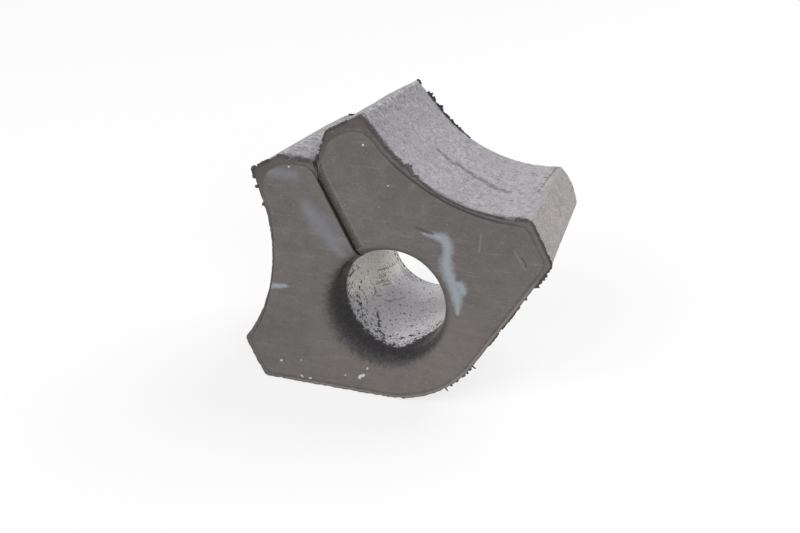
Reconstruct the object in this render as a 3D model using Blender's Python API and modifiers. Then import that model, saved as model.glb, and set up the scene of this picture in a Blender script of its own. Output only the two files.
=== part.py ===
# Split rubber bushing for a sway bar: one moulded block standing on one of its two seat flats.
# The bore runs along Y, the front end face looks toward -Y, and the slit opens up and to the left.

import math
import random

import bmesh
import bpy
from mathutils import Vector

MM = 0.001

# Bore and length
BORE_R = 11.0 * MM
BLOCK_LEN = 42.0 * MM
LIP_REACH = 2.1 * MM
LIP_DEPTH = 3.6 * MM

# Outline seen along the bore, with the slit pointing up
SEAT_DIST = 20.65 * MM
SEAT_ANGLE = math.radians(30.0)
HALF_WIDTH = 33.7 * MM
CROWN_RISE = 36.3 * MM
CROWN_HALF = 12.9 * MM
SIDE_RISE = 5.1 * MM
WAIST_R = 32.5 * MM
WAIST_TOP_SLOPE = math.radians(78.0)
WAIST_FOOT_SLOPE = math.radians(27.4)
CROWN_CORNER_R = 0.9 * MM
SIDE_CORNER_R = 0.8 * MM

# Slit and the open V at its outer end
SLIT_GAP = 0.5 * MM
SLIT_LEAN = 0.05  # sideways drift for each unit of depth
MOUTH_DEPTH = 4.2 * MM
MOUTH_HALF = 5.2 * MM

# Raised face on both ends, set in from the rim
FACE_LIFT = 0.5 * MM
FACE_INSET = 1.1 * MM
FACE_CROWN_INSET = 1.6 * MM
FACE_ROUND = 0.4 * MM
FACE_CROWN_R = 4.4 * MM
FACE_SIDE_R = 2.6 * MM
FACE_MOUTH_R = 3.2 * MM
SLIT_ROLL = 0.65 * MM

# Torn moulding flash along both rims
FLASH_THICK = 0.35 * MM
FLASH_SINK = 0.12 * MM
FLASH_REACH = 1.15 * MM
FLASH_STUB = 0.18 * MM
FLASH_ROOT = 0.7 * MM
FLASH_PITCH = 0.62 * MM
FLASH_SEED = 23

# Where flash is left on each rim: bearing from the bore, spread, both in degrees, and share of reach
FRONT_FLASH = ((57, 5, 1.0), (69, 4, 0.6), (105, 9, 0.7), (11, 4, 0.6), (-12, 5, 0.9), (-70, 12, 0.8),
               (33, 18, 0.35), (182, 4, 0.4))
REAR_FLASH = ((57, 14, 0.95), (105, 9, 0.7), (22, 12, 0.4), (-72, 9, 0.6), (128, 10, 0.5), (-14, 4, 0.6))

# Mesh fineness
BORE_STEPS = 72
LIP_STEPS = 6
ARC_STEP = math.radians(3.0)
CORNER_STEPS = 7
WELD_DIST = 0.01 * MM

# Values that follow from the ones above
SEAT_FOOT = Vector((SEAT_DIST * math.sin(SEAT_ANGLE), -SEAT_DIST * math.cos(SEAT_ANGLE)))
SEAT_LEN = (HALF_WIDTH - SEAT_FOOT.x) / math.cos(SEAT_ANGLE)
RIM_LEN = BLOCK_LEN - 2.0 * FACE_LIFT
MOUTH_RISE = CROWN_RISE - MOUTH_DEPTH


def clear_scene():
    for obj in list(bpy.data.objects):
        bpy.data.objects.remove(obj, do_unlink=True)
    for mesh in list(bpy.data.meshes):
        bpy.data.meshes.remove(mesh)


def make_collection(name):
    coll = bpy.data.collections.new(name)
    bpy.context.scene.collection.children.link(coll)
    return coll


def line_hit(p, d, q, e):
    """Point where the line through p along d meets the line through q along e."""
    cross = d.x * e.y - d.y * e.x
    t = ((q.x - p.x) * e.y - (q.y - p.y) * e.x) / cross
    return p + d * t


def fillet(before, corner, after, radius, share=0.5):
    """Points of the round that replaces a sharp corner, no longer than its share of either side."""
    a = (before - corner).normalized()
    b = (after - corner).normalized()
    half = math.acos(max(-1.0, min(1.0, a.dot(b)))) / 2.0
    room = share * min((before - corner).length, (after - corner).length)
    reach = min(room, radius / math.tan(half))
    centre = corner + (a + b).normalized() * (reach / math.cos(half))
    start = corner + a * reach - centre
    end = corner + b * reach - centre
    first = math.atan2(start.y, start.x)
    turn = math.atan2(end.y, end.x) - first
    turn = (turn + math.pi) % (2.0 * math.pi) - math.pi
    steps = max(CORNER_STEPS, math.ceil(abs(turn) / ARC_STEP))
    return arc(centre, start.length, first, first + turn, steps)


def arc(centre, radius, first, last, steps):
    """Points along an arc from angle first to angle last."""
    points = []
    for k in range(steps + 1):
        angle = first + (last - first) * k / steps
        points.append(centre + Vector((math.cos(angle), math.sin(angle))) * radius)
    return points


def slope(angle):
    """Direction that climbs inward at the given angle from the horizontal."""
    return Vector((-math.cos(angle), math.sin(angle)))


def right_side(inset, crown_inset, crown_r, side_r, crown_end):
    """Right half of the outline, from the bottom of the V up to the crown corner."""
    up = Vector((0.0, 1.0))
    level = Vector((1.0, 0.0))
    seat_dir = Vector((math.cos(SEAT_ANGLE), math.sin(SEAT_ANGLE)))
    seat = SEAT_FOOT + Vector((-seat_dir.y, seat_dir.x)) * inset
    side = Vector((HALF_WIDTH - inset, 0.0))
    foot_dir = slope(WAIST_FOOT_SLOPE)
    foot = Vector((HALF_WIDTH, SIDE_RISE)) + Vector((-foot_dir.y, foot_dir.x)) * inset
    flank_dir = slope(WAIST_TOP_SLOPE)
    flank = Vector((CROWN_HALF, CROWN_RISE)) + Vector((-flank_dir.y, flank_dir.x)) * inset
    low = line_hit(seat, seat_dir, side, up)
    high = line_hit(foot, foot_dir, side, up)
    waist = line_hit(foot, foot_dir, flank, flank_dir)
    crown = line_hit(flank, flank_dir, Vector((0.0, CROWN_RISE - crown_inset)), level)
    hollow = fillet(high, waist, crown, WAIST_R + inset, 0.95)
    bottom = SEAT_DIST - inset
    steps = math.ceil(SEAT_ANGLE / ARC_STEP)
    points = arc(Vector((0.0, 0.0)), bottom, -0.5 * math.pi, SEAT_ANGLE - 0.5 * math.pi, steps)
    points += fillet(seat, low, high, side_r)
    points += fillet(low, high, hollow[0], side_r, 0.9)
    points += hollow
    points += fillet(hollow[-1], crown, Vector((crown_end, crown.y)), crown_r, 0.6)
    return points


def both_sides(right):
    """Whole loop from its right half: up the right side, then down the mirrored left side."""
    left = [Vector((-p.x, p.y)) for p in reversed(right) if p.x > 1e-7]
    return right + left


def rim_outline(inset):
    """Outline of the block, closed over the mouth, moved inward by the inset."""
    return both_sides(right_side(inset, inset, CROWN_CORNER_R, SIDE_CORNER_R, MOUTH_HALF))


def slit_shift(rise):
    """Sideways drift of the knife cut, which leans away from the middle toward the bore."""
    return -SLIT_LEAN * (MOUTH_RISE - rise)


def to_object(name, loops, length, coll):
    """Closed 2-D loops, an outer one and any holes, extruded along Y and turned into a mesh."""
    curve = bpy.data.curves.new(name, "CURVE")
    curve.dimensions = "2D"
    curve.fill_mode = "BOTH"
    curve.extrude = length / 2.0
    for loop in loops:
        spline = curve.splines.new("POLY")
        spline.points.add(len(loop) - 1)
        for point, (u, v) in zip(spline.points, loop):
            point.co = (u, v, 0.0, 1.0)
        spline.use_cyclic_u = True
    temp = bpy.data.objects.new(name + "_curve", curve)
    bpy.context.scene.collection.objects.link(temp)
    bpy.context.view_layer.update()
    graph = bpy.context.evaluated_depsgraph_get()
    mesh = bpy.data.meshes.new_from_object(temp.evaluated_get(graph))
    bpy.data.objects.remove(temp, do_unlink=True)
    bpy.data.curves.remove(curve)
    mesh.name = name
    bm = bmesh.new()
    bm.from_mesh(mesh)
    bmesh.ops.remove_doubles(bm, verts=bm.verts, dist=1e-7)
    for vert in bm.verts:
        vert.co = place(vert.co.x, vert.co.z, vert.co.y)
    bmesh.ops.recalc_face_normals(bm, faces=bm.faces)
    for face in bm.faces:
        face.smooth = abs(face.normal.y) < 0.5
    for edge in bm.edges:
        if edge.is_manifold and edge.calc_face_angle(0.0) > math.radians(25.0):
            edge.smooth = False
    bm.to_mesh(mesh)
    bm.free()
    obj = bpy.data.objects.new(name, mesh)
    coll.objects.link(obj)
    return obj


def place(u, y, v):
    """Point of the slit-up outline turned so that the left seat flat lies on the ground."""
    x = u * math.cos(SEAT_ANGLE) - v * math.sin(SEAT_ANGLE) + SEAT_LEN / 2.0
    z = u * math.sin(SEAT_ANGLE) + v * math.cos(SEAT_ANGLE) + SEAT_DIST
    return Vector((x, y, z))


def boolean(target, tool, operation):
    mod = target.modifiers.new(tool.name, "BOOLEAN")
    mod.operation = operation
    mod.solver = "EXACT"
    mod.object = tool


def weld(target):
    """Closes up the hair-thin slivers that a boolean can leave."""
    mod = target.modifiers.new("weld", "WELD")
    mod.merge_threshold = WELD_DIST


def hide_cutter(obj):
    obj.hide_render = True
    obj.display_type = "WIRE"


def make_rubber():
    """Black rubber, dulled by age."""
    mat = bpy.data.materials.new("aged_black_rubber")
    mat.use_nodes = True
    shader = mat.node_tree.nodes["Principled BSDF"]
    shader.inputs["Base Color"].default_value = (0.14, 0.13, 0.125, 1.0)
    shader.inputs["Roughness"].default_value = 0.72
    return mat


def make_block(coll, rubber):
    """Main block between the two rims: V seat, side flats, hollow waists and crown."""
    block = to_object("rubber_block", [rim_outline(0.0)], RIM_LEN, coll)
    block.data.materials.append(rubber)
    return block


def make_end_faces(coll):
    """Raised end faces as one slab through the block, open along the slit, with rounded rims."""
    gap = SLIT_GAP / 2.0 + SLIT_ROLL
    flank = Vector((MOUTH_HALF - SLIT_GAP / 2.0, CROWN_RISE - MOUTH_RISE)).normalized()
    throat = Vector((SLIT_GAP / 2.0, MOUTH_RISE)) + Vector((flank.y, -flank.x)) * FACE_INSET
    crown = line_hit(throat, flank, Vector((0.0, CROWN_RISE - FACE_CROWN_INSET)), Vector((1.0, 0.0)))
    inner = line_hit(throat, flank, Vector((gap, 0.0)), Vector((0.0, 1.0)))
    root = Vector((gap, BORE_R / 2.0))
    right = right_side(FACE_INSET, FACE_CROWN_INSET, FACE_CROWN_R, FACE_SIDE_R, crown.x)
    lobe = fillet(right[-1], crown, inner, FACE_MOUTH_R) + fillet(crown, inner, root, FACE_MOUTH_R)
    loop = right + lobe + [root]
    mirrored = [Vector((-p.x, p.y)) for p in reversed(lobe + [root])]
    loop += mirrored + [Vector((-p.x, p.y)) for p in reversed(right) if p.x > 1e-7]
    start = len(right)
    for k in range(start, start + 2 * len(lobe) + 2):
        loop[k].x += min(0.0, slit_shift(loop[k].y))
    slab = to_object("end_face_slab", [loop], BLOCK_LEN, coll)
    bm = bmesh.new()
    bm.from_mesh(slab.data)
    rims = [e for e in bm.edges if all(abs(abs(v.co.y) - BLOCK_LEN / 2.0) < 1e-6 for v in e.verts)
            and abs(e.calc_face_angle(0.0)) > 1.0]
    bmesh.ops.bevel(bm, geom=rims, offset=FACE_ROUND, segments=3, profile=0.5,
                    affect="EDGES", clamp_overlap=True)
    bm.to_mesh(slab.data)
    bm.free()
    return slab


def noise_row(rng, count, span):
    """Looped row of values between 0 and 1 that changes smoothly over span steps."""
    knots = max(4, round(count / span))
    values = [rng.random() for _ in range(knots)]
    row = []
    for k in range(count):
        x = k * knots / count
        i = int(x)
        t = x - i
        t = t * t * (3.0 - 2.0 * t)
        row.append(values[i % knots] * (1.0 - t) + values[(i + 1) % knots] * t)
    return row


def even_loop(loop, pitch):
    """Loop resampled at an even pitch, with the outward direction at each point."""
    total = sum((loop[(k + 1) % len(loop)] - loop[k]).length for k in range(len(loop)))
    count = round(total / pitch)
    points = []
    walked = 0.0
    k = 0
    for n in range(count):
        goal = total * n / count
        seg = (loop[(k + 1) % len(loop)] - loop[k]).length
        while walked + seg < goal:
            walked += seg
            k += 1
            seg = (loop[(k + 1) % len(loop)] - loop[k % len(loop)]).length
        t = (goal - walked) / seg
        points.append(loop[k % len(loop)].lerp(loop[(k + 1) % len(loop)], t))
    out = []
    for n in range(count):
        along = (points[(n + 1) % count] - points[n - 1]).normalized()
        out.append(Vector((along.y, -along.x)))
    return points, out


def flash_share(point, patches):
    """Share of the full flash reach at a point of the rim, from the patches around it."""
    bearing = math.degrees(math.atan2(point.y, point.x))
    best = 0.0
    for centre, spread, share in patches:
        off = abs((bearing - centre + 180.0) % 360.0 - 180.0) / spread
        if off < 1.0:
            best = max(best, share * (1.0 - off * off))
    return best


def make_flash(name, mid_y, patches, seed, coll):
    """Thin torn fin left by the mould along one rim, long in places and gone in others."""
    rng = random.Random(seed)
    points, outward = even_loop(rim_outline(0.0), FLASH_PITCH)
    count = len(points)
    teeth = noise_row(rng, count, 2.0)
    ragged = []
    for point, side, tooth in zip(points, outward, teeth):
        reach = FLASH_REACH * flash_share(point, patches) * (0.45 + 0.8 * tooth)
        if reach < FLASH_STUB:
            reach = -FLASH_ROOT / 2.0
        ragged.append(point + side * reach)
    fin = to_object(name, [ragged, rim_outline(FLASH_ROOT)], FLASH_THICK, coll)
    for vert in fin.data.vertices:
        vert.co.y += mid_y
    return fin


def make_bore_cutter(coll):
    """Bore with a rolled lip at each end, turned from one profile."""
    half = BLOCK_LEN / 2.0
    profile = []
    for k in range(1, LIP_STEPS + 1):
        angle = 0.5 * math.pi * k / LIP_STEPS
        drop = LIP_DEPTH * (1.0 - math.cos(angle))
        profile.append((BORE_R + LIP_REACH * (1.0 - math.sin(angle)), half - drop))
    rim = 2.0 * (BORE_R + LIP_REACH) - profile[0][0]
    flare = 2.0 * half - profile[0][1]
    past = half + 3.0 * MM
    profile = [(0.0, past), (rim, past), (rim, flare)] + profile
    profile += [(r, -z) for r, z in reversed(profile)]
    mesh = bpy.data.meshes.new("bore_cutter")
    bm = bmesh.new()
    verts = [bm.verts.new((r, 0.0, z)) for r, z in profile]
    for a, b in zip(verts, verts[1:]):
        bm.edges.new((a, b))
    bm.to_mesh(mesh)
    bm.free()
    cutter = bpy.data.objects.new("bore_cutter", mesh)
    coll.objects.link(cutter)
    centre = place(0.0, 0.0, 0.0)
    cutter.rotation_euler = (0.5 * math.pi, 0.0, 0.0)
    cutter.location = centre
    turn = cutter.modifiers.new("turn", "SCREW")
    turn.axis = "Z"
    turn.steps = BORE_STEPS
    turn.render_steps = BORE_STEPS
    turn.use_merge_vertices = True
    turn.merge_threshold = 1e-6
    turn.use_smooth_shade = True
    hide_cutter(cutter)
    return cutter


def make_slit_cutter(coll):
    """Knife cut from the bore outward, opening into a V at the crown."""
    half = SLIT_GAP / 2.0
    slope = (MOUTH_HALF - half) / (CROWN_RISE - MOUTH_RISE)
    past = CROWN_RISE + 4.0 * MM
    wide = half + slope * (past - MOUTH_RISE)
    root = BORE_R / 2.0
    shift = slit_shift(root)
    loop = [Vector((shift - half, root)), Vector((shift + half, root)), Vector((half, MOUTH_RISE)),
            Vector((wide, past)), Vector((-wide, past)), Vector((-half, MOUTH_RISE))]
    cutter = to_object("slit_cutter", [loop], BLOCK_LEN + 6.0 * MM, coll)
    for face in cutter.data.polygons:
        face.use_smooth = False
    hide_cutter(cutter)
    return cutter


def main():
    clear_scene()
    parts = make_collection("sway_bar_bushing")
    cutters = make_collection("cutters")
    rubber = make_rubber()
    block = make_block(parts, rubber)
    slab = make_end_faces(cutters)
    hide_cutter(slab)
    boolean(block, slab, "UNION")
    weld(block)
    flash_y = RIM_LEN / 2.0 - FLASH_SINK - FLASH_THICK / 2.0
    front = make_flash("flash_front", -flash_y, FRONT_FLASH, FLASH_SEED, cutters)
    rear = make_flash("flash_rear", flash_y, REAR_FLASH, FLASH_SEED + 1, cutters)
    for fin in (front, rear):
        hide_cutter(fin)
        boolean(block, fin, "UNION")
    boolean(block, make_bore_cutter(cutters), "DIFFERENCE")
    boolean(block, make_slit_cutter(cutters), "DIFFERENCE")


main()
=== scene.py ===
import math

import bmesh
import bpy
from mathutils import Matrix, Vector, noise


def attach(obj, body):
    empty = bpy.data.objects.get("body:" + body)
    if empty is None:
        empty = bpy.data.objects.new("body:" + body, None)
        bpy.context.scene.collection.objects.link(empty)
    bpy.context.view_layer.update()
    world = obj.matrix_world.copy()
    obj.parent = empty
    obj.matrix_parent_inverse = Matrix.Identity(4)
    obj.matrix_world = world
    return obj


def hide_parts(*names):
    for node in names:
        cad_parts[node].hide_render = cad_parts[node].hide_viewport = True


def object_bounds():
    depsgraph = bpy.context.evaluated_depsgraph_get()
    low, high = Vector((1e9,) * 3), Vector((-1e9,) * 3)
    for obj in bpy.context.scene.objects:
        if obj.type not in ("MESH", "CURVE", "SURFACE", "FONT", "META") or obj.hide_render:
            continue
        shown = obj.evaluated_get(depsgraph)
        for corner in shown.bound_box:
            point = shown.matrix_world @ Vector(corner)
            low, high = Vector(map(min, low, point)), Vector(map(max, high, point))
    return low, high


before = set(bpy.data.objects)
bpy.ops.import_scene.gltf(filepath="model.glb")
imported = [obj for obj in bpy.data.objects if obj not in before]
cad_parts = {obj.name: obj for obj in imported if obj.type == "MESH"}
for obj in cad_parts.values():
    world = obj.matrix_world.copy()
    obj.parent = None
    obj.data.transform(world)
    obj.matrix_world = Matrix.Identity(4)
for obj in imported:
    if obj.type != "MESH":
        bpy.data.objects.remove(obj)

cad_box = [list(corner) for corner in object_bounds()]


# Camera. It stands to the right of the bore and looks down on the front end face, a hand's length away,
# with the mild tilt of a hand-held shot.
CAMERA_PLACE = (0.061157, -0.182185, 0.095716)
CAMERA_AZIMUTH = 15.769
CAMERA_ELEVATION = 21.557
CAMERA_ROLL = 2.124
CAMERA_LENS = 41.626

camera_data = bpy.data.cameras.new("camera")
camera_data.sensor_width = 36.0
camera_data.lens = CAMERA_LENS
camera_data.clip_start = 0.01
camera = bpy.data.objects.new("camera", camera_data)
camera.matrix_world = (
    Matrix.Translation(CAMERA_PLACE)
    @ Matrix.Rotation(math.radians(CAMERA_AZIMUTH), 4, "Z")
    @ Matrix.Rotation(math.radians(90.0 - CAMERA_ELEVATION), 4, "X")
    @ Matrix.Rotation(math.radians(CAMERA_ROLL), 4, "Z")
)
bpy.context.scene.collection.objects.link(camera)
bpy.context.scene.camera = camera


# Rubber block. The real one is a single moulding of black natural rubber, split to the bore with a
# knife after moulding. It is drawn here as one long grid that is bent round the bore: its two ends are
# the walls of the knife cut, one long side is the outline and the other is the bore.
MM = 0.001
# Outline in millimetres from the bore's axis, with the slit up
SEAT_DIST = 20.65
SEAT_ANGLE = math.radians(30.0)
HALF_WIDTH = 33.7
CROWN_RISE = 36.3
CROWN_HALF = 12.9
SIDE_RISE = 5.1
WAIST_R = 32.5
WAIST_TOP_SLOPE = math.radians(78.0)
WAIST_FOOT_SLOPE = math.radians(27.4)
MOUTH_RISE = 32.1
MOUTH_HALF = 5.2
# How the lobes have settled: the mouth is wider on its left, and the cut drifts to the left below it
LEFT_MOUTH_DRIFT = 1.2
MOUTH_DRIFT_FROM = 31.0
MOUTH_DRIFT_RUN = 3.0
CUT_SHIFT = 1.0
CUT_SHIFT_RUN = 1.6
CUT_FROM = 8.0
CUT_NEAR = 2.0
CUT_NEAR_RUN = 6.0
# The end face rolls over into the cut, softly on its right and crisply on its left
RIGHT_ROLL_WIDTH = 2.2
RIGHT_ROLL_SINK = 0.8
LEFT_ROLL_WIDTH = 0.6
LEFT_ROLL_SINK = 0.3
ROLL_DEPTH = 4.0
# The right side flat swells outward toward the rear
REAR_FLARE = 0.95
FLARE_WIDTH = 2.0
FLARE_LOW = -4.4
FLARE_HIGH = 6.2
FLARE_FROM = 8.0
FLARE_RUN = 12.0
# The cut's half gap inside and at the ends, the raised face, the bore and its rolled lips
HALF_GAP = 0.1
FACE_HALF_GAP = 0.15
FACE_INSET = 1.1
INNER_INSET = 1.5
HALF_LEN = 21.0
BORE_R = 11.0
LIP_REACH = 2.1
LIP_DEPTH = 3.6
REAR_LIP_REACH = 1.0
REAR_LIP_DEPTH = 1.5
SEAT_FOOT = Vector((SEAT_DIST * math.sin(SEAT_ANGLE), -SEAT_DIST * math.cos(SEAT_ANGLE)))
SEAT_LEN = (HALF_WIDTH - SEAT_FOOT.x) / math.cos(SEAT_ANGLE)
# Steps of the grid, which bunch up toward the rim and the bore, and a value for what is far from a mark
PITCH = 0.5
RADIAL_STEPS = 26
BODY_STEPS = 48
END_BUNCHING = 0.1
FAR = 9.0

# Inset from the rim and distance along the bore, from the raised end face over the ledge to the side
RIM_PROFILE = ((1.50, -21.0), (1.33, -20.98), (1.20, -20.90), (1.12, -20.76), (1.09, -20.62),
               (1.04, -20.53), (0.92, -20.50), (0.55, -20.49), (0.22, -20.46), (0.07, -20.36),
               (0.0, -20.18))
# Which points of that profile lie in the groove, and from which one on the waist's rim stands up, by how
# much, and what share of it each point takes
GROOVE_FIRST = 3
STRIP_FIRST = 7
STRIP_RISE = 0.2
STRIP_SHARES = (1.0, 0.8, 0.4)
LEDGE_DEPTH = 0.5


def place(u, y, v):
    """Point in metres of the outline drawn in millimetres with the slit up, set on its left seat."""
    x = u * math.cos(SEAT_ANGLE) - v * math.sin(SEAT_ANGLE) + SEAT_LEN / 2.0
    z = u * math.sin(SEAT_ANGLE) + v * math.cos(SEAT_ANGLE) + SEAT_DIST
    return Vector((x * MM, y * MM, z * MM))


def line_hit(p, d, q, e):
    """Point where the line through p along d meets the line through q along e."""
    cross = d.x * e.y - d.y * e.x
    t = ((q.x - p.x) * e.y - (q.y - p.y) * e.x) / cross
    return p + d * t


def fillet(before, corner, after, radius, share=0.5):
    """Fine points of the round that replaces a sharp corner."""
    a = (before - corner).normalized()
    b = (after - corner).normalized()
    half = math.acos(max(-1.0, min(1.0, a.dot(b)))) / 2.0
    room = share * min((before - corner).length, (after - corner).length)
    reach = min(room, radius / math.tan(half))
    centre = corner + (a + b).normalized() * (reach / math.cos(half))
    start = corner + a * reach - centre
    end = corner + b * reach - centre
    first = math.atan2(start.y, start.x)
    turn = math.atan2(end.y, end.x) - first
    turn = (turn + math.pi) % (2.0 * math.pi) - math.pi
    return arc(centre, start.length, first, first + turn)


def arc(centre, radius, first, last):
    """Fine points along an arc from angle first to angle last."""
    angles = [first + (last - first) * k / 60 for k in range(61)]
    return [centre + Vector((math.cos(a), math.sin(a))) * radius for a in angles]


def right_stretches(inset, crown_inset, crown_r, side_r, mouth_r, gap):
    """Right half of the outline as arcs and straights, from the bottom of the V to the knife cut."""
    up = Vector((0.0, 1.0))
    level = Vector((1.0, 0.0))
    seat_dir = Vector((math.cos(SEAT_ANGLE), math.sin(SEAT_ANGLE)))
    seat = SEAT_FOOT + Vector((-seat_dir.y, seat_dir.x)) * inset
    side = Vector((HALF_WIDTH - inset, 0.0))
    foot_dir = Vector((-math.cos(WAIST_FOOT_SLOPE), math.sin(WAIST_FOOT_SLOPE)))
    foot = Vector((HALF_WIDTH, SIDE_RISE)) + Vector((-foot_dir.y, foot_dir.x)) * inset
    flank_dir = Vector((-math.cos(WAIST_TOP_SLOPE), math.sin(WAIST_TOP_SLOPE)))
    flank = Vector((CROWN_HALF, CROWN_RISE)) + Vector((-flank_dir.y, flank_dir.x)) * inset
    lip_dir = Vector((MOUTH_HALF - HALF_GAP, CROWN_RISE - MOUTH_RISE)).normalized()
    throat = Vector((HALF_GAP, MOUTH_RISE)) + Vector((lip_dir.y, -lip_dir.x)) * inset
    top = Vector((0.0, CROWN_RISE - crown_inset))
    low = line_hit(seat, seat_dir, side, up)
    high = line_hit(foot, foot_dir, side, up)
    waist = line_hit(foot, foot_dir, flank, flank_dir)
    crown = line_hit(flank, flank_dir, top, level)
    mouth = line_hit(throat, lip_dir, top, level)
    cut = line_hit(throat, lip_dir, Vector((gap, 0.0)), up)
    hollow = fillet(high, waist, crown, WAIST_R + inset, 0.95)
    bottom = arc(Vector((0.0, 0.0)), SEAT_DIST - inset, -0.5 * math.pi, SEAT_ANGLE - 0.5 * math.pi)
    rounds = [bottom, fillet(seat, low, high, side_r), fillet(low, high, hollow[0], side_r, 0.9), hollow,
              fillet(hollow[-1], crown, mouth, crown_r, 0.6), fillet(crown, mouth, cut, mouth_r),
              fillet(mouth, cut, Vector((gap, BORE_R)), mouth_r)]
    stretches = []
    for piece, following in zip(rounds, rounds[1:] + [None]):
        stretches.append(piece)
        if following:
            stretches.append([piece[-1], following[0]])
    return stretches


def path_length(path):
    """Length of a line through points."""
    return sum((b - a).length for a, b in zip(path, path[1:]))


def spread_points(path, count):
    """Evenly spaced points along a path, leaving out its last one."""
    lengths = [0.0]
    for a, b in zip(path, path[1:]):
        lengths.append(lengths[-1] + (b - a).length)
    points = []
    k = 0
    for n in range(count):
        goal = lengths[-1] * n / count
        while k < len(path) - 2 and lengths[k + 1] < goal:
            k += 1
        span = max(lengths[k + 1] - lengths[k], 1e-9)
        points.append(path[k].lerp(path[k + 1], (goal - lengths[k]) / span))
    return points


def whole_loop(stretches, counts):
    """Outline from the right wall of the knife cut round to its left wall."""
    right = []
    for path, count in zip(stretches, counts):
        right += spread_points(path, count)
    right.append(stretches[-1][-1])
    left = [Vector((-p.x, p.y)) for p in right[1:]]
    return [settled(p) for p in list(reversed(right)) + left]


def cut_drift(v):
    """How far the knife cut lies to the left of the middle at a height of the outline."""
    return CUT_SHIFT * (1.0 - math.exp(-max(0.0, MOUTH_RISE - v) / CUT_SHIFT_RUN))


def settled(point):
    """Point moved as the cut lobes have settled: the cut drifts to the left below the mouth, and the
    mouth is wider on its left."""
    u, v = point
    if v > MOUTH_DRIFT_FROM and u < 0.0:
        near = 1.0 - abs(u + MOUTH_HALF) / (MOUTH_HALF if u > -MOUTH_HALF else CROWN_HALF - MOUTH_HALF)
        u -= LEFT_MOUTH_DRIFT * max(0.0, near) * min(1.0, (v - MOUTH_DRIFT_FROM) / MOUTH_DRIFT_RUN)
    if v > CUT_FROM:
        near = max(0.0, 1.0 - max(0.0, abs(u) - CUT_NEAR) / CUT_NEAR_RUN)
        u -= near * cut_drift(v)
    return Vector((u, v))


rim_parts = right_stretches(0.0, crown_inset=0.0, crown_r=0.6, side_r=0.8, mouth_r=0.5, gap=HALF_GAP)
face_parts = right_stretches(FACE_INSET, crown_inset=1.7, crown_r=6.5, side_r=2.8, mouth_r=3.6,
                             gap=FACE_HALF_GAP)
inner_parts = right_stretches(INNER_INSET, crown_inset=2.1, crown_r=6.1, side_r=2.4, mouth_r=3.2,
                              gap=FACE_HALF_GAP)
part_counts = []
for n, (rim_part, face_part) in enumerate(zip(rim_parts, face_parts)):
    length = (path_length(rim_part) + path_length(face_part)) / 2.0
    part_counts.append(max(6 if n % 2 == 0 else 1, round(length / PITCH)))
rim_loop = whole_loop(rim_parts, part_counts)
face_loop = whole_loop(face_parts, part_counts)
inner_loop = whole_loop(inner_parts, part_counts)
loop_steps = len(rim_loop) - 1

# Along the hollow waists the raised face comes nearly out to the rim, and a narrow groove is left. Below
# them the ledge is shallower.
HOLLOW_PART = 6
HOLLOW_FADE_UP = 18.0
HOLLOW_FADE_DOWN = 24.0
LEDGE_LOSS = 0.72
LEDGE_LOSS_RUN = 14.0
WAIST_NARROWING = 0.5
half_steps = loop_steps // 2
hollow_first = sum(part_counts[HOLLOW_PART + 1:])
hollow_last = sum(part_counts[HOLLOW_PART - 1:])
waistness = []
ledge_share = []
for i in range(loop_steps + 1):
    n = min(i, loop_steps - i)
    ledge_share.append(1.0 - LEDGE_LOSS * max(0.0, min(1.0, (n - hollow_last) / LEDGE_LOSS_RUN)))
    waistness.append(max(0.0, min(1.0, (n - hollow_first) / HOLLOW_FADE_UP,
                                  (hollow_last - n) / HOLLOW_FADE_DOWN)))

# Share of the way round for each point of the outline, by its bearing from the knife cut
bearings = [math.atan2(point.x, point.y) % (2.0 * math.pi) for point in rim_loop]
bearings = [b - 2.0 * math.pi if b > math.pi and i < half_steps else b for i, b in enumerate(bearings)]
shares = [(b - bearings[0]) / (bearings[-1] - bearings[0]) for b in bearings]

lip_steps = len(RIM_PROFILE) - 1


def end_stations(reach, depth):
    """Stations over one end, from the raised face over the rim outside and over the rolled lip inside."""
    made = []
    for k, (inset, outer_y) in enumerate(RIM_PROFILE):
        angle = 0.5 * math.pi * k / lip_steps
        gap = HALF_GAP + (FACE_HALF_GAP - HALF_GAP) * (1.0 - math.sin(angle))
        made.append((inset, outer_y, BORE_R + reach * (1.0 - math.sin(angle)),
                     depth * (1.0 - math.cos(angle)) - HALF_LEN, gap))
    return made


front_end = end_stations(LIP_REACH, LIP_DEPTH)
rear_end = [(inset, -y, r, -bore_y, gap)
            for inset, y, r, bore_y, gap in reversed(end_stations(REAR_LIP_REACH, REAR_LIP_DEPTH))]
stations = list(front_end)
for k in range(1, BODY_STEPS):
    share = k / BODY_STEPS
    stations.append((0.0, front_end[-1][1] + (rear_end[0][1] - front_end[-1][1]) * share, BORE_R,
                     front_end[-1][3] + (rear_end[0][3] - front_end[-1][3]) * share, HALF_GAP))
stations += rear_end
station_steps = len(stations) - 1


def rim_inset(i, inset):
    """Inset from the rim at a point of the outline; the ledge is narrower along the waists."""
    return inset * (1.0 - WAIST_NARROWING * waistness[i])


def outer_point(i, inset):
    """Point in from the rim at a step of the outline: on the ledge, or beyond it on the raised face."""
    depth = rim_inset(i, inset)
    if depth <= FACE_INSET:
        return rim_loop[i].lerp(face_loop[i], depth / FACE_INSET)
    return face_loop[i].lerp(inner_loop[i], (depth - FACE_INSET) / (INNER_INSET - FACE_INSET))


def bore_point(i, radius, gap):
    """Point of the bore or its lip at a step of the outline, from one wall of the drifted cut round to the
    other."""
    drift = cut_drift(radius)
    first = math.asin((gap - drift) / radius)
    last = 2.0 * math.pi - math.asin((gap + drift) / radius)
    angle = first + (last - first) * shares[i]
    return Vector((math.sin(angle), math.cos(angle))) * radius


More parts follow.
